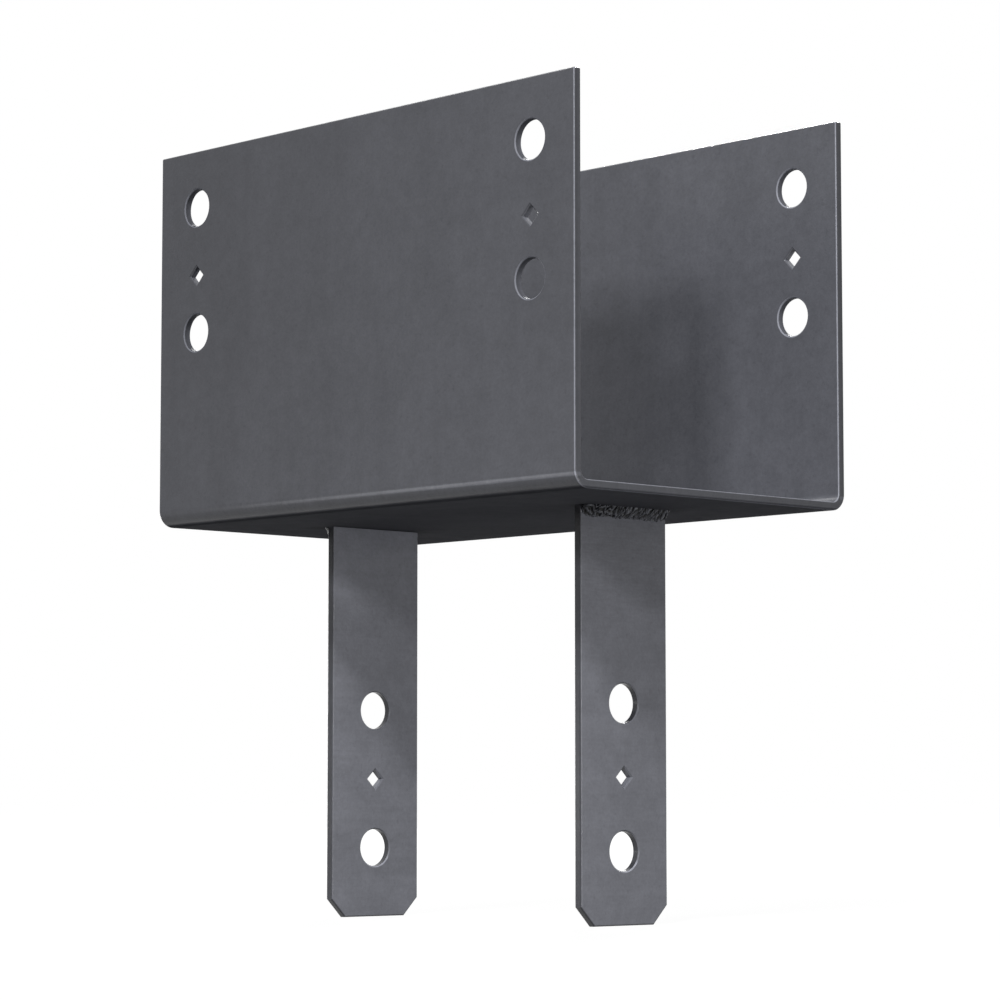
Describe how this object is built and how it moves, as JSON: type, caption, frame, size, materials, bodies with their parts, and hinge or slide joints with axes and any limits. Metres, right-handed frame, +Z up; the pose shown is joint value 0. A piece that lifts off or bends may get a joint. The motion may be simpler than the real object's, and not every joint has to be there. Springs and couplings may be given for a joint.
{
  "type": "column cap",
  "caption": "Painted steel column cap: a folded U channel that cradles a timber beam, with welded bolt straps that run down two sides of the post below.",
  "frame": {"origin": "centre of the channel's underside, the face that lands on the top of the post", "axes": "+X along the beam and the channel, +Y across it towards the far wall, +Z up from the post to the beam; the straps run down along -Z, one at +X and one at -X"},
  "size_m": [0.3302, 0.1996, 0.4237],
  "materials": {
    "plate_paint": "satin dark grey shop paint over mill scale, faintly mottled",
    "weld_paint": "the same grey paint over a rough rippled weld bead, darker in its creases"
  },
  "bodies": {
    "root": {"beam_channel": "plate_paint", "post_strap_front": "plate_paint", "post_strap_back": "plate_paint", "weld_front": "weld_paint", "weld_back": "weld_paint"}
  },
  "joints": []
}
